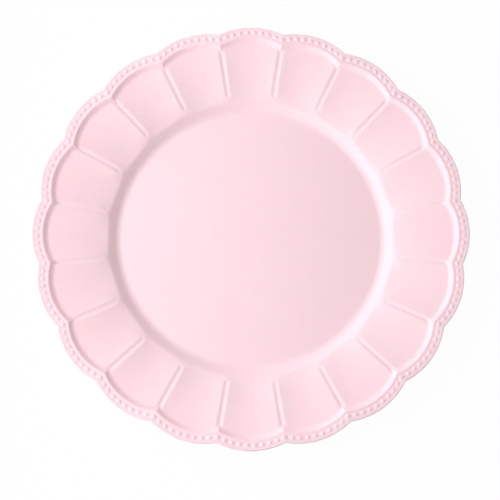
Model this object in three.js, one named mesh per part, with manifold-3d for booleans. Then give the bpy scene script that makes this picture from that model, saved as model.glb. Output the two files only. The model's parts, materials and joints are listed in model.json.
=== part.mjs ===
// Charger plate: a round plate with a scalloped, beaded rim, resting on six soft pads.
// Millimetres, +Z up. The origin is the centre of the table plane that the pads stand on,
// and the tip of one lobe points along +X.
import * as THREE from 'three';
import { mergeVertices } from 'three/addons/utils/BufferGeometryUtils.js';
import Module from 'manifold-3d';

// Outline
const lobeCount = 20;
const tipRadius = 165; // centre to the tip of a lobe
const notchDepth = 4.1; // how far the notches between lobes lie inside the tips

// Well and wall
const wellRadius = 98.2; // flat floor that a dinner plate stands on
const wallRun = 10.4; // well to the top of the wall at a petal's middle, seen from above
const wallRise = 4.2; // height of the wall there
const wallFillet = 5.6; // width of the curve between the well and the straight slope of the wall
const wallThickness = 2.4; // moulded wall, measured upright

// Petals between the wall and the lip
const rimRise = 9.5; // rise of a petal's middle from the wall to the lip
const rimBow = 0.35; // how far that rise bulges above a straight line
const wallEndLift = 1.4; // how far a petal's edges stand above its middle near the wall
const lipEndLift = 1; // and beside the lip
const liftAtWall = 0.4; // share of the lift that a petal has where it meets the wall
const liftLead = 9; // distance from the wall over which the rest of the lift comes in
const creaseWidth = 4.8;
const creaseDepth = 0.6;
const creaseSetback = 1; // land between the wall and the end of a crease
const creaseLead = 3; // distance over which a crease reaches its depth

// Border outside the petals: a beaded flange and a level lip, counted inwards from the edge
const edgeMargin = 2.55; // edge to the outer side of the beads
const beadDiameter = 3.1;
const beadHeight = 0.3;
const beadPitch = 5.6; // nearest even spacing along a lobe is used
const beadToLip = 0.25;
const lipWidth = 2;
const lipRun = 3.2; // lip to the outer end of the petals, seen from above
const lipRise = 2.2; // lip above the outer end of a petal's middle
const flangeRise = 0.9; // edge above the lip
const flangeThickness = 2.2;
const edgeRounding = 0.5;

// Foot ring and pads
const padCount = 6;
const padDiameter = 8;
const padDrop = 0.8; // pads stand this far below the foot ring
const padBevel = 0.4;
const socketDepth = 1;
const socketWall = 1.7; // foot ring left beside a socket
const seatClearance = 0.3; // all round a pad in its socket
const footHeight = 1.2;
const footInset = 2.2; // foot ring inside the edge of the well

// Facets
const petalColumns = 6; // columns of points across one lobe
const petalMiddle = 0.5; // share of the way out at which a petal has one more ring of points
const beadSides = 6;
const padSides = 24;
const bury = 0.4; // how far the underside of a bead reaches into the flange
const weldDistance = 1e-4; // points closer than this are one
const settleSteps = 20; // steps towards the line where the petals meet the wall

// Heights
const footLevel = padDrop;
const wellUnderside = footLevel + footHeight;
const wellLevel = wellUnderside + wallThickness;
const shoulderLevel = wellLevel + wallRise;
const lipLevel = shoulderLevel + rimRise + lipRise;

// Offsets inwards from the scalloped edge
const beadLine = edgeMargin + beadDiameter / 2;
const lipOuter = edgeMargin + beadDiameter + beadToLip;
const lipInner = lipOuter + lipWidth;
const lipFoot = lipInner + lipRun;

// The flange rises from the lip to the edge
const flangeSlope = flangeRise / (lipOuter - edgeRounding);
const flangeLevel = (offset) => lipLevel + flangeSlope * (lipOuter - offset);

// Each lobe is an arc through its tip and its two notches
const halfLobe = Math.PI / lobeCount;
const notchRadius = tipRadius - notchDepth;
const notchX = notchRadius * Math.cos(halfLobe);
const arcCentre = (tipRadius ** 2 - notchRadius ** 2) / (2 * (tipRadius - notchX));
const arcRadius = tipRadius - arcCentre;

// Distance from the plate's centre to the outline moved inwards by offset, at an angle from the tip
function outlineRadius(angle, offset) {
  const across = arcCentre * Math.sin(angle);
  return arcCentre * Math.cos(angle) + Math.sqrt((arcRadius - offset) ** 2 - across ** 2);
}

// Wall: a straight slope out of a fillet
const wallFoot = wellRadius + wallFillet / 2;
const shoulderRadius = wellRadius + wallRun;
const wallSlope = wallRise / (shoulderRadius - wallFoot);
const petalLength = outlineRadius(0, lipFoot) - shoulderRadius;

// Angles from the tip for one lobe's columns: the crease, its two shoulders, and the petal between
function columnAngles(radius) {
  const shoulder = halfLobe - Math.asin(creaseWidth / 2 / radius);
  const steps = petalColumns - 2;
  const angles = [-halfLobe];
  for (let i = 0; i <= steps; i++) angles.push(shoulder * ((2 * i) / steps - 1));
  return angles;
}

// Height of a petal: a bowed rise, with the edges lifted by a parabola across the petal
function petalLevel(radius, angle) {
  const out = radius - shoulderRadius;
  const along = out / petalLength;
  const middle = shoulderLevel + rimRise * along + 4 * rimBow * along * (1 - along);
  const lead = liftAtWall + (1 - liftAtWall) * THREE.MathUtils.smoothstep(out, 0, liftLead);
  const lift = wallEndLift + (lipEndLift - wallEndLift) * along;
  return middle + lead * lift * (angle / halfLobe) ** 2;
}

// Distance from the centre to the top of the wall, where its slope meets the petal
function wallTop(angle) {
  let radius = shoulderRadius;
  for (let i = 0; i < settleSteps; i++) {
    radius = wallFoot + (petalLevel(radius, angle) - wellLevel) / wallSlope;
  }
  return radius;
}

// A ring of points right round the plate. radiusAt and levelAt take the angle from the tip of a lobe.
function ring(radiusAt, levelAt) {
  const points = [];
  for (let lobe = 0; lobe < lobeCount; lobe++) {
    const tipAngle = 2 * halfLobe * lobe;
    for (const angle of columnAngles(radiusAt(0))) {
      const radius = radiusAt(angle);
      const level = levelAt(radius, angle);
      const turn = tipAngle + angle;
      points.push([radius * Math.cos(turn), radius * Math.sin(turn), level]);
    }
  }
  return points;
}

const circle = (radius, level) => ring(() => radius, () => level);
const scallop = (offset, level) => ring((angle) => outlineRadius(angle, offset), () => level);

// A ring on the petals, at a share of the way from the end of a crease to the lip
function petalRing(share, drop, depth) {
  const radiusAt = (angle) => {
    const start = wallTop(angle) + creaseSetback;
    return start + share * (outlineRadius(angle, lipFoot) - start);
  };
  const levelAt = (radius, angle) => {
    const sunk = angle === -halfLobe ? depth : 0;
    return petalLevel(radius, angle) - drop - sunk;
  };
  return ring(radiusAt, levelAt);
}

// Rings from the centre of the well, over the top, round the edge and back under the foot ring
function plateRings() {
  const filletRise = (run) => (wallSlope * run ** 2) / (2 * wallFillet);
  const halfFillet = wallFillet / 2;
  const creaseDeep = creaseLead / (petalLength - creaseSetback);
  const edgeTop = flangeLevel(edgeRounding);
  const edgeUnderside = edgeTop - flangeThickness;
  const footOuter = wellRadius - footInset;
  const footInner = footOuter - 2 * (padDiameter / 2 + seatClearance + socketWall);
  return [
    circle(wellRadius, wellLevel),
    circle(wellRadius + halfFillet, wellLevel + filletRise(halfFillet)),
    circle(wellRadius + wallFillet, wellLevel + filletRise(wallFillet)),
    ring(wallTop, petalLevel),
    petalRing(0, 0, 0),
    petalRing(creaseDeep, 0, creaseDepth),
    petalRing(petalMiddle, 0, creaseDepth),
    petalRing(1, 0, creaseDepth),
    scallop(lipInner, lipLevel),
    scallop(lipOuter, lipLevel),
    scallop(edgeRounding, edgeTop),
    scallop(0, edgeTop - edgeRounding),
    scallop(0, edgeUnderside + edgeRounding),
    scallop(edgeRounding, edgeUnderside),
    scallop(lipOuter, lipLevel - flangeThickness),
    petalRing(1, wallThickness, 0),
    petalRing(petalMiddle, wallThickness, 0),
    ring(wallTop, (radius, angle) => petalLevel(radius, angle) - wallThickness),
    circle(wellRadius + halfFillet, wellLevel + filletRise(halfFillet) - wallThickness),
    circle(footOuter, wellUnderside),
    circle(footOuter, footLevel),
    circle(footInner, footLevel),
    circle(footInner, wellUnderside),
  ];
}

// A closed surface from rings of equal count, with a point on the axis at each end
function closedSurface(rings, startPoint, endPoint) {
  const count = rings[0].length;
  const positions = [...rings.flat(), startPoint, endPoint];
  const startIndex = positions.length - 2;
  const endIndex = positions.length - 1;
  const lastRing = (rings.length - 1) * count;
  const triangles = [];
  for (let i = 0; i < count; i++) {
    const next = (i + 1) % count;
    triangles.push(startIndex, i, next);
    triangles.push(endIndex, lastRing + next, lastRing + i);
    for (let row = 0; row < lastRing; row += count) {
      triangles.push(row + i, row + count + i, row + count + next);
      triangles.push(row + i, row + count + next, row + next);
    }
  }
  const geometry = new THREE.BufferGeometry();
  geometry.setAttribute('position', new THREE.Float32BufferAttribute(positions.flat(), 3));
  geometry.setIndex(triangles);
  return geometry;
}

// Half an ellipsoid standing on the flange. Its side runs on down into the flange.
function beadGeometry() {
  const radius = beadDiameter / 2;
  const bendRadius = radius * Math.SQRT1_2;
  const bendHeight = beadHeight * Math.SQRT1_2;
  const buriedRadius = radius + (bury * (radius - bendRadius)) / bendHeight;
  const profile = [
    new THREE.Vector2(0, -bury),
    new THREE.Vector2(buriedRadius, -bury),
    new THREE.Vector2(bendRadius, bendHeight),
    new THREE.Vector2(0, beadHeight),
  ];
  return new THREE.LatheGeometry(profile, beadSides).rotateX(Math.PI / 2);
}

// Places and turns of the beads: even steps along each lobe's arc, the first one on the notch
function beadPlaces() {
  const axis = new THREE.Vector3(0, 0, 1);
  const radius = arcRadius - beadLine;
  const level = flangeLevel(beadLine);
  const halfArc = Math.asin((outlineRadius(halfLobe, beadLine) * Math.sin(halfLobe)) / radius);
  const beadsPerLobe = Math.round((2 * halfArc * radius) / beadPitch);
  const places = [];
  for (let lobe = 0; lobe < lobeCount; lobe++) {
    for (let i = 0; i < beadsPerLobe; i++) {
      const along = halfArc * ((2 * i) / beadsPerLobe - 1);
      const x = arcCentre + radius * Math.cos(along);
      const y = radius * Math.sin(along);
      const tipAngle = 2 * halfLobe * lobe;
      const point = new THREE.Vector3(x, y, level).applyAxisAngle(axis, tipAngle);
      places.push({ point, turn: tipAngle + along });
    }
  }
  return places;
}

const footMiddle = wellRadius - footInset - socketWall - seatClearance - padDiameter / 2;

function padPlaces() {
  return Array.from({ length: padCount }, (_, i) => {
    const turn = (2 * Math.PI * i) / padCount;
    return new THREE.Vector3(footMiddle * Math.cos(turn), footMiddle * Math.sin(turn), 0);
  });
}

// Drum that cuts the socket of one pad, up from below the foot ring
function socketGeometry() {
  const radius = padDiameter / 2 + seatClearance;
  const roof = footLevel + socketDepth;
  return new THREE.CylinderGeometry(radius, radius, roof, padSides)
    .rotateX(Math.PI / 2)
    .translate(0, 0, roof / 2);
}

// A pad: a short disc with a bevelled foot, standing on the table plane
function padGeometry() {
  const radius = padDiameter / 2;
  const top = footLevel + socketDepth - seatClearance;
  const profile = [
    new THREE.Vector2(0, 0),
    new THREE.Vector2(radius - padBevel, 0),
    new THREE.Vector2(radius, padBevel),
    new THREE.Vector2(radius, top),
    new THREE.Vector2(0, top),
  ];
  return new THREE.LatheGeometry(profile, padSides).rotateX(Math.PI / 2);
}

// Joins and cuts
const wasm = await Module();
wasm.setup();

function toSolid(geometry) {
  const bare = geometry.clone();
  bare.deleteAttribute('normal');
  bare.deleteAttribute('uv');
  const merged = mergeVertices(bare, weldDistance);
  return new wasm.Manifold(
    new wasm.Mesh({
      numProp: 3,
      vertProperties: merged.attributes.position.array,
      triVerts: new Uint32Array(merged.index.array),
    }),
  );
}

function toGeometry(solid) {
  const mesh = solid.getMesh();
  const geometry = new THREE.BufferGeometry();
  geometry.setAttribute('position', new THREE.BufferAttribute(mesh.vertProperties, 3));
  geometry.setIndex(new THREE.BufferAttribute(mesh.triVerts, 1));
  return geometry;
}

function plateGeometry() {
  const wellCentre = [0, 0, wellLevel];
  const undersideCentre = [0, 0, wellUnderside];
  let solid = toSolid(closedSurface(plateRings(), wellCentre, undersideCentre));
  const bead = toSolid(beadGeometry().rotateY(-Math.atan(flangeSlope)));
  for (const { point, turn } of beadPlaces()) {
    const turned = bead.rotate([0, 0, THREE.MathUtils.radToDeg(turn)]);
    solid = solid.add(turned.translate(point.toArray()));
  }
  const socket = toSolid(socketGeometry());
  for (const place of padPlaces()) solid = solid.subtract(socket.translate(place.toArray()));
  return toGeometry(solid);
}

// Scene graph
const platePlastic = new THREE.MeshStandardMaterial({ color: 0xf5d7e0, roughness: 0.52, metalness: 0 });
const padRubber = new THREE.MeshStandardMaterial({ color: 0xe9e2df, roughness: 0.8, metalness: 0 });

const chargerPlate = new THREE.Group();

const plate = new THREE.Mesh(plateGeometry(), platePlastic);
plate.name = 'plate';
chargerPlate.add(plate);

padPlaces().forEach((place, i) => {
  const pad = new THREE.Mesh(padGeometry(), padRubber);
  pad.name = `nonslip_pad_${i + 1}`;
  pad.position.copy(place);
  chargerPlate.add(pad);
});

export default chargerPlate;
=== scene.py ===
"""Looks of a charger plate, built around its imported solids.

A round plate moulded in satin pink: a flat well, a sloped wall, twenty scooped petals with a crease
between each pair, a raised scalloped lip, a beaded flange, and a foot ring with six soft pads.
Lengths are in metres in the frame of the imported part: +Z up, the table at height zero, the tip of
a lobe on +X.
"""

import json

import bpy
import numpy as np
from mathutils import Matrix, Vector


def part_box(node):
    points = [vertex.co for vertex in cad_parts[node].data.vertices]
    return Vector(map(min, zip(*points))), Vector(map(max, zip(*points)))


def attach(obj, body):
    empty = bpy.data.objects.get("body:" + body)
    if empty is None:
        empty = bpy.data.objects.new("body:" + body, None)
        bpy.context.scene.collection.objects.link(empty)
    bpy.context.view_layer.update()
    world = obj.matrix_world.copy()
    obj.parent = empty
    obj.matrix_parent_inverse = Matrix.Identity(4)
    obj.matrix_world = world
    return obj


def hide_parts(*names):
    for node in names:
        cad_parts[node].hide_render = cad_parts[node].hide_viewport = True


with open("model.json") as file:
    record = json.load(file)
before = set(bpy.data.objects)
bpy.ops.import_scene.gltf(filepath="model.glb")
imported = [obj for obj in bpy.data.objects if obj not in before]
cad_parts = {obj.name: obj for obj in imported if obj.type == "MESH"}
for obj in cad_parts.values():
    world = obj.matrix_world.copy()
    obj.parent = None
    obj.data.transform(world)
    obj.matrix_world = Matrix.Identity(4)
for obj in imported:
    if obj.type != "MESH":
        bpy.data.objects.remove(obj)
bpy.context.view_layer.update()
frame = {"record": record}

MM = 0.001
PADS = 6
BODY = "root"
plate_low, plate_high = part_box("plate")
pad_low, pad_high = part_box("nonslip_pad_1")
mounts = {mount["name"]: mount for mount in frame["record"]["mounts"]}

# Outline: each lobe is an arc through its tip and its two notches
LOBES = 20
HALF_LOBE = np.pi / LOBES
TIP_RADIUS = plate_high.x
NOTCH_DEPTH = 4.1 * MM
NOTCH_RADIUS = TIP_RADIUS - NOTCH_DEPTH
NOTCH_ALONG = NOTCH_RADIUS * np.cos(HALF_LOBE)
ARC_CENTRE = (TIP_RADIUS**2 - NOTCH_RADIUS**2) / (2 * (TIP_RADIUS - NOTCH_ALONG))
ARC_RADIUS = TIP_RADIUS - ARC_CENTRE

# Beads and the flange that carries them, measured inwards from the edge
EDGE_LEVEL = plate_high.z
EDGE_ROUNDING = 0.5 * MM
BEADS_PER_LOBE = 9
BEAD_INSET = 4.1 * MM
BEAD_RADIUS = 1.55 * MM
BEAD_HEIGHT = 0.3 * MM
BAND_OUTER = 2.3 * MM
BAND_INNER = 5.9 * MM
FLANGE_RISE = 0.9 * MM
FLANGE_SLOPE = FLANGE_RISE / (BAND_INNER - EDGE_ROUNDING)
FLANGE_THICKNESS = 2.2 * MM

# Lip: a level band inside the beads, with a rounded edge and a slope down to the petals
LIP_LEVEL = EDGE_LEVEL - FLANGE_RISE
LIP_INSET = 7.9 * MM
LIP_EASE = 0.4 * MM
LIP_SLOPE = 0.65
LIP_FOOT_EASE = 0.7 * MM
LIP_OUTER_EASE = 0.06 * MM

# Well and wall
WELL_LEVEL = mounts["well_floor"]["pos_m"][2]
WALL_FOOT = 101 * MM
WALL_RISE = 4.2 * MM
WALL_FILLET = 5.6 * MM
WALL_THICKNESS = 2.4 * MM
SHOULDER_RADIUS = 108.6 * MM
SHOULDER_LEVEL = WELL_LEVEL + WALL_RISE
SHOULDER_EASE = 0.4 * MM
WALL_SLOPE = WALL_RISE / (SHOULDER_RADIUS - WALL_FOOT)

# Petals and the creases between them
PETAL_LENGTH = 45.3 * MM
RIM_RISE = 9.5 * MM
RIM_BOW = 0.35 * MM
WALL_END_LIFT = 1.4 * MM
LIP_END_LIFT = 1 * MM
LIFT_AT_WALL = 0.3
LIFT_LEAD = 9 * MM
CREASE_DEPTH = 0.6 * MM
CREASE_HALF_WIDTH = 2.7 * MM
CREASE_START = 111 * MM
CREASE_FADE = 4.5 * MM

# Pads, their sockets and the foot ring that holds them
PAD_RADIUS = (pad_high.x - pad_low.x) / 2
PAD_RING = (pad_high.x + pad_low.x) / 2
PAD_ROUNDING = 0.6 * MM
PAD_TOP_ROUNDING = PAD_ROUNDING / 2
PAD_FOOT_RINGS = PAD_RADIUS * np.array([0.3, 0.6])
PAD_TOP_RING = PAD_RADIUS / 2
SEAT_CLEARANCE = 0.3 * MM
SOCKET_RADIUS = PAD_RADIUS + SEAT_CLEARANCE
SOCKET_DEPTH = 1 * MM
SOCKET_BEVEL = 0.15 * MM
SOCKET_WALL = 1.7 * MM
FOOT_LEVEL = plate_low.z
FOOT_HALF_WIDTH = SOCKET_RADIUS + SOCKET_WALL
FOOT_OUTER = PAD_RING + FOOT_HALF_WIDTH
FOOT_INNER = PAD_RING - FOOT_HALF_WIDTH
FOOT_DRAFT = 3.0
FOOT_EASE = 0.3 * MM

# Rings of a socket from its mouth to its roof: distances from its middle, and rises above the foot
SOCKET_RINGS = np.append(SOCKET_RADIUS + SOCKET_BEVEL * np.array([2, 1, 0, 0, -1]), SOCKET_RADIUS / 2)
SOCKET_MOUTH = SOCKET_BEVEL * np.array([0, 0.25, 1])
SOCKET_ROOF = SOCKET_DEPTH - SOCKET_BEVEL * np.array([1, 0, 0])

# Columns of points right round the plate
COLUMNS_PER_BEAD = 4
FINE = COLUMNS_PER_BEAD * BEADS_PER_LOBE
COARSE = FINE // 2
WELL_COLUMNS = FINE // 4
UNDER_COLUMNS = COARSE // 3
CROWDING = 0.75

# Rows of points: where the petals' rows and the lip's rows begin, and where the columns change over
PETAL_START = 116 * MM
LIP_START = 14.5 * MM
CHANGE_START = 11.5 * MM
CHANGE_END = 6.5 * MM
WALL_LEAD = 1 * MM
WALL_ROWS = 30
PETAL_ROWS = 17
LIP_ROWS = 21
WELL_RADII = np.array([20, 55, 82, 95]) * MM
ARC_POINTS = 6
BEAD_TURNS = np.radians([6, 32, 62, 83])

# Rows of the underside, which is plainer
UNDER_START = 1.6 * MM
UNDER_LIP_ROWS = 14
UNDER_PETAL_ROWS = 13
UNDER_WALL_ROWS = 20
FOOT_SIDE = 0.8 * MM
FOOT_CORNER = 1.2 * MM
FOOT_SIDE_ROWS = 12
FOOT_ROWS = 4
SOCKET_REACH = 6
UNDER_RADII = np.array([80, 60, 30, 10]) * MM
PAD_COLUMNS = 48

# Pink plastic, from its darkest cloud to its palest, with its sheen and the mix of its grain
PINK_DARK = (0.897, 0.667, 0.732, 1)
PINK_PALE = (0.913, 0.693, 0.758, 1)
PINK_ROUGHNESS = 0.58
PINK_ROUGHNESS_SPREAD = 0.05
RIPPLE_SHARE = 0.35
GRAIN_SHARE = 0.65

# Pad rubber
RUBBER_DARK = (0.72, 0.68, 0.66, 1)
RUBBER_PALE = (0.82, 0.78, 0.76, 1)
RUBBER_ROUGHNESS = 0.66
RUBBER_ROUGHNESS_SPREAD = 0.16

# Floor, lamp and surround
WHITE = (1, 1, 1, 1)
FLOOR_CLOTH = (0.88, 0.88, 0.88, 1)
FLOOR_WHITENESS = 0.975
FLOOR_RADII = np.array([1, 6])
FLOOR_COLUMNS = 96
LAMP_SIZE = 0.8
LAMP_POWER = 11
LAMP_COLOUR = (1, 0.99, 0.97)
LAMP_PLACE = np.array([-0.4, 0.01, 0.5])
LAMP_TARGET = np.array([0.6, 0.01, 0.795])
SURROUND_COLOUR = (1, 0.92, 0.91, 1)
SURROUND_STRENGTH = 0.252

# Camera
CAMERA_ELEVATION = np.radians(75.66)
CAMERA_DISTANCE = 1.128
CAMERA_TARGET = np.array([-0.6 * MM, -14.3 * MM, EDGE_LEVEL])
SENSOR_WIDTH = 36
FOCAL_PIXELS = 1501
IMAGE_PIXELS = 500


def smooth_max(first, second, reach):
    """The higher of two heights, with a parabola where they come within reach of each other."""
    near = np.maximum(reach - np.abs(first - second), 0)
    return np.maximum(first, second) + near**2 / (4 * reach)


def smooth_min(first, second, reach):
    """The lower of two heights, with a parabola where they come within reach of each other."""
    return -smooth_max(-first, -second, reach)


def smooth_step(share):
    """A rise from 0 to 1 with level ends: three times the square less twice the cube."""
    held = np.clip(share, 0, 1)
    return held**2 * (3 - 2 * held)


def edge_radius(angle, inset):
    """Distance from the axis to the scalloped edge moved inwards by inset, at an angle from a tip.

    It is where a ray from the axis meets the lobe's arc, drawn with a radius smaller by inset.
    """
    across = ARC_CENTRE * np.sin(angle)
    return ARC_CENTRE * np.cos(angle) + np.sqrt((ARC_RADIUS - inset) ** 2 - across**2)


def edge_inset(radius, angle):
    """How far a point lies inside the edge: the arc's radius less the distance to the arc's centre."""
    along = radius * np.cos(angle) - ARC_CENTRE
    across = radius * np.sin(angle)
    return ARC_RADIUS - np.hypot(along, across)


def petal_level(radius, angle):
    """Height of the petals: a bowed rise, with the edges lifted by a parabola across each petal."""
    out = radius - SHOULDER_RADIUS
    along = out / PETAL_LENGTH
    middle = SHOULDER_LEVEL + RIM_RISE * along + 4 * RIM_BOW * along * (1 - along)
    lead = LIFT_AT_WALL + (1 - LIFT_AT_WALL) * smooth_step(out / LIFT_LEAD)
    lift = WALL_END_LIFT + (LIP_END_LIFT - WALL_END_LIFT) * along
    return middle + lead * lift * (angle / HALF_LOBE) ** 2


def crease_depth(radius, angle):
    """Depth of the groove between two petals: one wave of a cosine across it, easing in past the wall."""
    across = radius * np.sin(HALF_LOBE - np.abs(angle))
    wave = 0.5 + 0.5 * np.cos(np.pi * np.minimum(across / CREASE_HALF_WIDTH, 1))
    return CREASE_DEPTH * wave * smooth_step((radius - CREASE_START) / CREASE_FADE)


def wall_level(radius):
    """Height of the well and its wall: a level and a straight slope with a fillet between them."""
    slope = WELL_LEVEL + (radius - WALL_FOOT) * WALL_SLOPE
    return smooth_max(np.full_like(radius, WELL_LEVEL), slope, WALL_SLOPE * WALL_FILLET / 2)


def flange_level(inset):
    """Height of the flange: a slope that rises towards the edge."""
    return LIP_LEVEL + FLANGE_SLOPE * (BAND_INNER - inset)


def border_level(inset):
    """Height of the border: the flange, the level lip and a straight slope down to the petals."""
    band = smooth_max(flange_level(inset), np.full_like(inset, LIP_LEVEL), LIP_OUTER_EASE)
    slope = LIP_LEVEL - (inset - LIP_INSET) * LIP_SLOPE
    return smooth_min(band, slope, LIP_EASE)


def top_level(radius, angle):
    """Height of the upper face: the well, its wall and the petals, and the border round them."""
    border = border_level(edge_inset(radius, angle))
    petals = petal_level(radius, angle) - crease_depth(radius, angle)
    bowl = smooth_min(wall_level(radius), petals, SHOULDER_EASE)
    return smooth_max(bowl, border, LIP_FOOT_EASE)


def foot_level(radius):
    """Height of the foot ring's underside: a level between two steep sides, with small fillets."""
    sides = np.maximum((radius - FOOT_OUTER) * FOOT_DRAFT, (FOOT_INNER - radius) * FOOT_DRAFT)
    return smooth_max(np.full_like(radius, FOOT_LEVEL), FOOT_LEVEL + sides, FOOT_EASE)


def underside_level(radius, angle):
    """Height of the lower face: the upper one without its creases and lip, a wall's thickness down,
    then parallel to the flange and lowered to the foot ring."""
    inset = edge_inset(radius, angle)
    bowl = smooth_min(wall_level(radius), petal_level(radius, angle), SHOULDER_EASE)
    skirt = smooth_max(bowl, border_level(inset), LIP_FOOT_EASE)
    shell = smooth_min(skirt - WALL_THICKNESS, flange_level(inset) - FLANGE_THICKNESS, LIP_FOOT_EASE)
    return smooth_min(shell, foot_level(radius), FOOT_EASE)


def lobe_shares(columns):
    """Places of the columns across every lobe, from -1 on one notch towards 1 on the next."""
    return np.tile(2 * np.arange(columns) / columns - 1, LOBES)


def tip_turns(columns):
    """Direction of each column's own lobe tip."""
    return np.repeat(2 * HALF_LOBE * np.arange(LOBES), columns)


def bead_angles(share):
    """Angles from the tip at even steps along the line of the beads, from notch to notch."""
    radius = ARC_RADIUS - BEAD_INSET
    half_arc = np.arcsin(edge_radius(HALF_LOBE, BEAD_INSET) * np.sin(HALF_LOBE) / radius)
    return np.arctan2(radius * np.sin(half_arc * share), ARC_CENTRE + radius * np.cos(half_arc * share))


def crease_angles(share):
    """Angles from the tip that crowd towards the creases: a straight line mixed with a sine."""
    return HALF_LOBE * (CROWDING * np.sin(np.pi / 2 * share) + (1 - CROWDING) * share)


def mixed(first, second, weight):
    """Rows of values that go from one row to another by the weight of each row."""
    held = np.asarray(weight)[:, None]
    return first[None, :] * (1 - held) + second[None, :] * held


def round_points(turns, angle, radius, level):
    """Points from the direction of a tip, the angle from it, the distance from the axis and the height."""
    around = turns + angle
    return np.stack(np.broadcast_arrays(radius * np.cos(around), radius * np.sin(around), level), -1)


class Skin:
    """Points and faces of one closed surface, gathered patch by patch."""

    def __init__(self):
        self.points = []
        self.patches = []
        self.count = 0

    def add(self, points):
        """Takes points in a grid of any shape and gives back their numbers in the same shape."""
        numbers = np.arange(self.count, self.count + points[..., 0].size)
        self.points.append(points.reshape(-1, 3))
        self.count += numbers.size
        return numbers.reshape(points.shape[:-1])

    def cover(self, faces):
        """Takes faces with equal numbers of corners, in a grid of any shape."""
        self.patches.append(faces.reshape(-1, faces.shape[-1]))

    def quads(self, rows, keep=...):
        """Four-sided faces between each closed row and the next one. keep picks some of them."""
        near, far = rows[:-1], rows[1:]
        faces = np.stack([near, far, np.roll(far, -1, 1), np.roll(near, -1, 1)], -1)
        self.cover(faces[keep])

    def fan(self, loops, centres):
        """Triangles from each closed loop to its own centre."""
        centres = np.broadcast_to(np.asarray(centres)[..., None], loops.shape)
        self.cover(np.stack([loops, np.roll(loops, -1, -1), centres], -1))

    def narrow(self, fine, coarse, upwards):
        """Faces between a row and one inside it with fewer points, each spanning one coarse step."""
        times = len(fine) // len(coarse)
        spans = np.arange(len(coarse))[:, None] * times + np.arange(times + 1)[None, :]
        faces = np.c_[coarse, fine[spans % len(fine)], np.roll(coarse, -1)]
        self.cover(faces if upwards else faces[:, ::-1])

    def bosses(self, loops, centres, radii, rises, slope=0):
        """Round bosses or hollows, one inside each closed loop: rings of the given radii and rises
        above the centre, evenly pointed from the direction of the loop's first point, and a point in
        the middle. They lean by the slope, which rises away from the axis."""
        points = np.concatenate(self.points)
        start = points[loops[:, 0]] - centres
        second = points[loops[:, 1]] - centres
        sense = np.sign(start[:, 0] * second[:, 1] - start[:, 1] * second[:, 0])
        steps = 2 * np.pi * np.arange(loops.shape[1]) / loops.shape[1]
        around = np.arctan2(start[:, 1], start[:, 0])[:, None] + sense[:, None] * steps[None, :]
        ways_out = np.arctan2(centres[:, 1], centres[:, 0])[:, None]
        outer = loops
        for radius, rise in zip(radii, rises):
            across = radius * np.cos(around)
            along = radius * np.sin(around)
            level = rise + slope * radius * np.cos(around - ways_out)
            inner = self.add(centres[:, None, :] + np.stack([across, along, level], -1))
            self.cover(np.stack([outer, np.roll(outer, -1, 1), np.roll(inner, -1, 1), inner], -1))
            outer = inner
        self.fan(outer, self.add(centres + np.array([0, 0, rises[-1]])))

    def finish(self, name, material):
        """Makes the mesh object from the points that faces use, smooth all over."""
        used = np.unique(np.concatenate([patch.ravel() for patch in self.patches]))
        numbers = np.zeros(self.count, int)
        numbers[used] = np.arange(len(used))
        faces = [face for patch in self.patches for face in numbers[patch].tolist()]
        mesh = bpy.data.meshes.new(name)
        mesh.from_pydata(np.concatenate(self.points)[used].tolist(), [], faces)
        mesh.polygons.foreach_set("use_smooth", np.ones(len(mesh.polygons), bool))
        mesh.materials.append(material)
        piece = bpy.data.objects.new(name, mesh)
        bpy.context.scene.collection.objects.link(piece)
        return piece


def upper_face(skin):
    """The top of the plate from the middle of the well to the inner side of the beads.

    Circles cross the wall, rows at even shares cross the petals, and rows parallel to the edge
    cross the lip, where the columns go over from the creases' spacing to the beads'.
    """
    share = lobe_shares(FINE)
    creased = crease_angles(share)
    fillet_start = WALL_FOOT - WALL_FILLET / 2
    circles = np.linspace(fillet_start - WALL_LEAD, PETAL_START, WALL_ROWS)
    outs = np.linspace(0, 1, PETAL_ROWS + 1)[1:]
    insets = np.linspace(LIP_START, BAND_INNER, LIP_ROWS + 1)[1:]
    change = smooth_step((CHANGE_START - insets) / (CHANGE_START - CHANGE_END))
    angle = np.concatenate([
        np.tile(creased, (len(circles) + len(outs), 1)),
        mixed(creased, bead_angles(share), change),
    ])
    petal_run = edge_radius(creased, LIP_START) - PETAL_START
    radius = np.concatenate([
        np.repeat(circles[:, None], len(share), 1),
        PETAL_START + outs[:, None] * petal_run[None, :],
        edge_radius(angle[-len(insets):], insets[:, None]),
    ])
    rows = skin.add(round_points(tip_turns(FINE), angle, radius, top_level(radius, angle)))
    skin.quads(rows)

    angle = crease_angles(lobe_shares(WELL_COLUMNS))
    well = skin.add(round_points(tip_turns(WELL_COLUMNS), angle, WELL_RADII[:, None], WELL_LEVEL))
    middle = skin.add(np.array([[0, 0, WELL_LEVEL]]))
    skin.quads(well)
    skin.narrow(rows[0], well[-1], upwards=True)
    skin.fan(well[0], middle[0])
    return rows[-1]


def edge_faces(skin):
    """The flange outside the beads, round the edge and back under it: quarter circles at both corners."""
    quarter = np.linspace(0, np.pi / 2, ARC_POINTS)
    drop = EDGE_ROUNDING * (1 - np.cos(quarter))
    insets = np.concatenate([[BAND_OUTER, 2 * EDGE_ROUNDING], drop[::-1], drop])
    levels = flange_level(insets) - np.concatenate([[0, 0], drop, FLANGE_THICKNESS - drop[::-1]])
    angle = bead_angles(lobe_shares(FINE))
    radius = edge_radius(angle[None, :], insets[:, None])
    rows = skin.add(round_points(tip_turns(FINE), angle, radius, levels[:, None]))
    skin.quads(rows)
    return rows[0], rows[-1]


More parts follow.
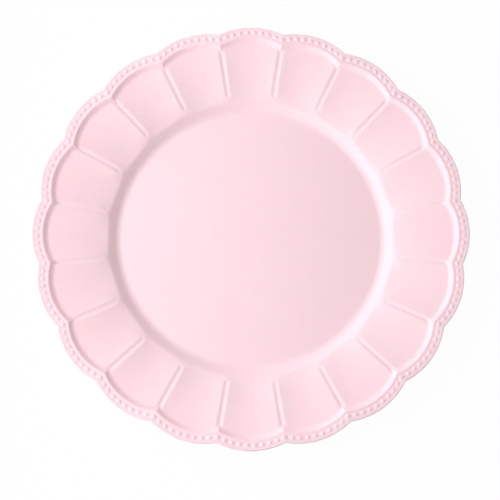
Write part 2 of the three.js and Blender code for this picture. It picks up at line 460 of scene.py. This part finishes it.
def bead_band(skin, inner, outer):
    """The flange between two rows, with a bead in each cell: half an ellipsoid with a small fillet."""
    half = COLUMNS_PER_BEAD // 2
    first = np.arange(LOBES * BEADS_PER_LOBE) * COLUMNS_PER_BEAD - half
    points = np.concatenate(skin.points)
    borders = skin.add((points[inner[first]] + points[outer[first]]) / 2)
    spans = (first[:, None] + np.arange(COLUMNS_PER_BEAD + 1)[None, :]) % len(inner)
    loops = np.c_[inner[spans][:, ::-1], borders, outer[spans], np.roll(borders, -1)]

    angle = bead_angles(lobe_shares(BEADS_PER_LOBE))
    radius = edge_radius(angle, BEAD_INSET)
    centres = round_points(tip_turns(BEADS_PER_LOBE), angle, radius, flange_level(BEAD_INSET))
    rises = BEAD_HEIGHT * np.append(np.sin(BEAD_TURNS[:-1]), 1)
    skin.bosses(loops, centres, BEAD_RADIUS * np.cos(BEAD_TURNS), rises, FLANGE_SLOPE)


def lower_face(skin, edge):
    """The underside from the edge to the axis, with the foot ring and the sockets of the pads.

    Its columns go over from the beads' spacing to the creases' and then to even steps, so that a
    column lies on the middle of each socket.
    """
    share = lobe_shares(COARSE)
    even = HALF_LOBE * share
    creased = crease_angles(share)
    band_outer = FOOT_OUTER - FOOT_CORNER
    band_inner = FOOT_INNER + FOOT_CORNER

    insets = np.linspace(UNDER_START, LIP_START, UNDER_LIP_ROWS)
    outs = np.linspace(1, 0, UNDER_PETAL_ROWS + 1)[1:]
    circles = np.linspace(PETAL_START, FOOT_OUTER + FOOT_SIDE, UNDER_WALL_ROWS)[1:-1]
    outer_side = np.linspace(FOOT_OUTER + FOOT_SIDE, band_outer, FOOT_SIDE_ROWS)
    band = np.linspace(band_outer, band_inner, FOOT_ROWS + 1)[1:]
    inner_side = np.linspace(band_inner, FOOT_INNER - FOOT_SIDE, FOOT_SIDE_ROWS)[1:]
    rings = np.concatenate([circles, outer_side, band, inner_side])
    angle = np.concatenate([
        mixed(bead_angles(share), creased, smooth_step(insets / CHANGE_START)),
        np.tile(creased, (len(outs), 1)),
        mixed(creased, even, smooth_step(np.arange(len(rings)) / len(circles))),
    ])
    petal_run = edge_radius(creased, LIP_START) - PETAL_START
    radius = np.concatenate([
        edge_radius(angle[:len(insets)], insets[:, None]),
        PETAL_START + outs[:, None] * petal_run[None, :],
        np.repeat(rings[:, None], len(share), 1),
    ])
    rows = skin.add(round_points(tip_turns(COARSE), angle, radius, underside_level(radius, angle)))
    skin.narrow(edge, rows[0], upwards=False)

    top = len(rows) - len(inner_side) - len(band) - 1
    cell_rows = np.arange(top, top + len(band) + 1)
    middles = np.arange(PADS) * rows.shape[1] // PADS + COARSE // 2
    spans = (middles[:, None] + np.arange(-SOCKET_REACH, SOCKET_REACH + 1)[None, :]) % rows.shape[1]
    keep = np.ones((len(rows) - 1, rows.shape[1]), bool)
    keep[cell_rows[:-1, None], spans[:, :-1].reshape(1, -1)] = False
    skin.quads(rows, keep)

    cells = rows[cell_rows[None, :, None], spans[:, None, :]]
    loops = np.concatenate([
        cells[:, 0, :],
        cells[:, 1:, -1],
        cells[:, -1, -2::-1],
        cells[:, -2:0:-1, 0],
    ], 1)
    directions = 2 * np.pi * np.arange(PADS) / PADS
    centres = round_points(directions, 0, PAD_RING, FOOT_LEVEL)
    skin.bosses(loops[:, ::-1], centres, SOCKET_RINGS, np.append(SOCKET_MOUTH, SOCKET_ROOF))

    level = WELL_LEVEL - WALL_THICKNESS
    angle = HALF_LOBE * lobe_shares(UNDER_COLUMNS)
    floor = skin.add(round_points(tip_turns(UNDER_COLUMNS), angle, UNDER_RADII[:, None], level))
    middle = skin.add(np.array([[0, 0, level]]))
    skin.quads(floor)
    skin.narrow(rows[-1], floor[0], upwards=False)
    skin.fan(floor[-1, ::-1], middle[0])


def plate_piece(material):
    """The whole moulding as one closed surface."""
    skin = Skin()
    inner = upper_face(skin)
    outer, edge = edge_faces(skin)
    bead_band(skin, inner, outer)
    lower_face(skin, edge)
    return skin.finish("moulded_plate", material)


def pad_piece(number, material):
    """One soft pad: a rounded profile carried clockwise round the middle of its own solid."""
    low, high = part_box(f"nonslip_pad_{number}")
    middle = (low + high) / 2
    quarter = np.linspace(0, np.pi / 2, ARC_POINTS)
    reach = np.concatenate([
        PAD_FOOT_RINGS,
        PAD_RADIUS - PAD_ROUNDING * (1 - np.sin(quarter)),
        PAD_RADIUS - PAD_TOP_ROUNDING * (1 - np.cos(quarter)),
        [PAD_TOP_RING],
    ])
    level = np.concatenate([
        [low.z, low.z],
        low.z + PAD_ROUNDING * (1 - np.cos(quarter)),
        high.z - PAD_TOP_ROUNDING * (1 - np.sin(quarter)),
        [high.z],
    ])
    around = np.linspace(2 * np.pi, 0, PAD_COLUMNS, endpoint=False)
    across = middle.x + reach[:, None] * np.cos(around)
    along = middle.y + reach[:, None] * np.sin(around)
    skin = Skin()
    rows = skin.add(np.stack(np.broadcast_arrays(across, along, level[:, None]), -1))
    ends = skin.add(np.array([[middle.x, middle.y, low.z], [middle.x, middle.y, high.z]]))
    skin.quads(rows)
    skin.fan(rows[0], ends[0])
    skin.fan(rows[-1, ::-1], ends[1])
    return skin.finish(f"soft_pad_{number}", material)


class Value:
    """A shader socket. Arithmetic on it adds Math nodes to its tree."""

    def __init__(self, shader, socket):
        self.shader = shader
        self.socket = socket

    def __add__(self, other):
        return self.shader.node("ShaderNodeMath", {"operation": "ADD"}, {0: self, 1: other})

    def __mul__(self, other):
        return self.shader.node("ShaderNodeMath", {"operation": "MULTIPLY"}, {0: self, 1: other})

    __radd__ = __add__
    __rmul__ = __mul__


class Shader:
    """A node tree written as expressions: one method makes every node."""

    def __init__(self, tree):
        self.tree = tree
        self.tree.nodes.clear()

    def node(self, kind, settings=None, sockets=None, output=0):
        """Adds a node, sets it up, then gives its sockets their values or links."""
        made = self.tree.nodes.new(kind)
        for name, value in (settings or {}).items():
            setattr(made, name, value)
        for name, value in (sockets or {}).items():
            if isinstance(value, Value):
                self.tree.links.new(value.socket, made.inputs[name])
            else:
                made.inputs[name].default_value = value
        return Value(self, made.outputs[output]) if made.outputs else made

    def noise(self, scale, detail):
        """A noise of the given grain in the piece's own coordinates, from 0 to 1."""
        place = self.node("ShaderNodeTexCoord", output="Object")
        sockets = {"Vector": place, "Scale": scale, "Detail": detail}
        return self.node("ShaderNodeTexNoise", None, sockets)

    def mix_colours(self, share, first, second):
        """A colour that goes from the first to the second by the share."""
        settings = {"data_type": "RGBA"}
        sockets = {"Factor": share, 6: first, 7: second}
        return self.node("ShaderNodeMix", settings, sockets, output=2)


def new_material(name):
    """An empty material and its shader."""
    material = bpy.data.materials.new(name)
    material.use_nodes = True
    return material, Shader(material.node_tree)


def satin_pink():
    """Moulded plastic: pale pink with a faint cloudiness, a soft sheen and the mould's fine grain."""
    material, shader = new_material("satin_pink_plastic")
    cloud = shader.noise(scale=18, detail=3)
    grain = shader.noise(scale=2600, detail=2)
    ripple = shader.noise(scale=70, detail=2)
    colour = shader.mix_colours(cloud, PINK_DARK, PINK_PALE)
    roughness = PINK_ROUGHNESS + PINK_ROUGHNESS_SPREAD * ripple + PINK_ROUGHNESS_SPREAD * grain
    height = RIPPLE_SHARE * ripple + GRAIN_SHARE * grain
    bump = shader.node(
        "ShaderNodeBump", None, {"Strength": 0.12, "Distance": 0.02 * MM, "Height": height}
    )
    plastic = shader.node("ShaderNodeBsdfPrincipled", None, {
        "Base Color": colour,
        "Roughness": roughness,
        "Normal": bump,
        "Specular IOR Level": 0.25,
        "Subsurface Weight": 0.35,
        "Subsurface Radius": (1, 0.35, 0.4),
        "Subsurface Scale": 2.5 * MM,
    })
    shader.node("ShaderNodeOutputMaterial", None, {"Surface": plastic})
    return material


def pad_rubber():
    """Soft pale rubber: a matt, faintly cloudy grey with a fine skin."""
    material, shader = new_material("pale_pad_rubber")
    cloud = shader.noise(scale=400, detail=3)
    grain = shader.noise(scale=5000, detail=2)
    colour = shader.mix_colours(cloud, RUBBER_DARK, RUBBER_PALE)
    roughness = RUBBER_ROUGHNESS + RUBBER_ROUGHNESS_SPREAD * grain
    bump = shader.node(
        "ShaderNodeBump", None, {"Strength": 0.3, "Distance": 0.02 * MM, "Height": grain}
    )
    rubber = shader.node("ShaderNodeBsdfPrincipled", None, {
        "Base Color": colour,
        "Roughness": roughness,
        "Normal": bump,
        "IOR": 1.45,
    })
    shader.node("ShaderNodeOutputMaterial", None, {"Surface": rubber})
    return material


def seen_directly(shader):
    """1 where the camera sees a surface straight, by reflection or through glass, and 0 elsewhere."""
    kinds = ["Is Camera Ray", "Is Glossy Ray", "Is Transmission Ray"]
    straight, glossy, through = [shader.node("ShaderNodeLightPath", output=kind) for kind in kinds]
    return straight + glossy + through


def white_floor():
    """A white floor: mostly plain white to the eye, with part of its true shading for the shadow."""
    material, shader = new_material("white_floor")
    cloth = shader.node("ShaderNodeBsdfDiffuse", None, {"Color": FLOOR_CLOTH})
    plain = shader.node("ShaderNodeEmission", None, {"Color": WHITE, "Strength": 1})
    share = seen_directly(shader) * FLOOR_WHITENESS
    both = shader.node("ShaderNodeMixShader", None, {0: share, 1: cloth, 2: plain})
    shader.node("ShaderNodeOutputMaterial", None, {"Surface": both})
    return material


def lay_floor():
    """A wide level disc under the pads."""
    around = np.linspace(0, 2 * np.pi, FLOOR_COLUMNS, endpoint=False)
    rim = np.stack([np.cos(around), np.sin(around), np.zeros_like(around)], -1)
    skin = Skin()
    rows = skin.add(FLOOR_RADII[:, None, None] * rim[None, :, :])
    skin.quads(rows)
    skin.fan(rows[0], skin.add(np.zeros((1, 3)))[0])
    skin.finish("floor", white_floor())


def light_scene():
    """A large soft lamp, high up on the left, and an even surround that is white to the eye."""
    lamp = bpy.data.lights.new("soft_key", "AREA")
    lamp.shape = "SQUARE"
    lamp.size = LAMP_SIZE
    lamp.energy = LAMP_POWER
    lamp.color = LAMP_COLOUR
    holder = bpy.data.objects.new("soft_key", lamp)
    holder.matrix_world = looking_from(LAMP_PLACE, LAMP_TARGET)
    bpy.context.scene.collection.objects.link(holder)

    world = bpy.data.worlds.new("surround")
    world.use_nodes = True
    bpy.context.scene.world = world
    shader = Shader(world.node_tree)
    share = seen_directly(shader)
    glow = {"Color": SURROUND_COLOUR, "Strength": SURROUND_STRENGTH}
    lit = shader.node("ShaderNodeBackground", None, glow)
    seen = shader.node("ShaderNodeBackground", None, {"Color": WHITE, "Strength": 1})
    both = shader.node("ShaderNodeMixShader", None, {0: share, 1: lit, 2: seen})
    shader.node("ShaderNodeOutputWorld", None, {"Surface": both})


def looking_from(place, target):
    """The placing of a camera or lamp that looks from a place at a target, with its sides level."""
    back = (place - target) / np.linalg.norm(place - target)
    right = np.cross((0, 0, 1), back)
    right /= np.linalg.norm(right)
    matrix = np.eye(4)
    matrix[:3, :] = np.stack([right, np.cross(back, right), back, place], -1)
    return Matrix(matrix.tolist())


def place_camera():
    """A long lens high over the near side of the plate."""
    back = np.array([0, -np.cos(CAMERA_ELEVATION), np.sin(CAMERA_ELEVATION)])
    lens = bpy.data.cameras.new("camera")
    lens.sensor_width = SENSOR_WIDTH
    lens.lens = SENSOR_WIDTH * FOCAL_PIXELS / IMAGE_PIXELS
    camera = bpy.data.objects.new("camera", lens)
    camera.matrix_world = looking_from(CAMERA_TARGET + back * CAMERA_DISTANCE, CAMERA_TARGET)
    bpy.context.scene.collection.objects.link(camera)
    bpy.context.scene.camera = camera


place_camera()
light_scene()
lay_floor()

plate = plate_piece(satin_pink())
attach(plate, BODY)
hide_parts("plate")

rubber = pad_rubber()
for number in range(1, PADS + 1):
    pad = pad_piece(number, rubber)
    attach(pad, BODY)
    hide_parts(f"nonslip_pad_{number}")

bpy.context.scene.view_settings.view_transform = "Standard"
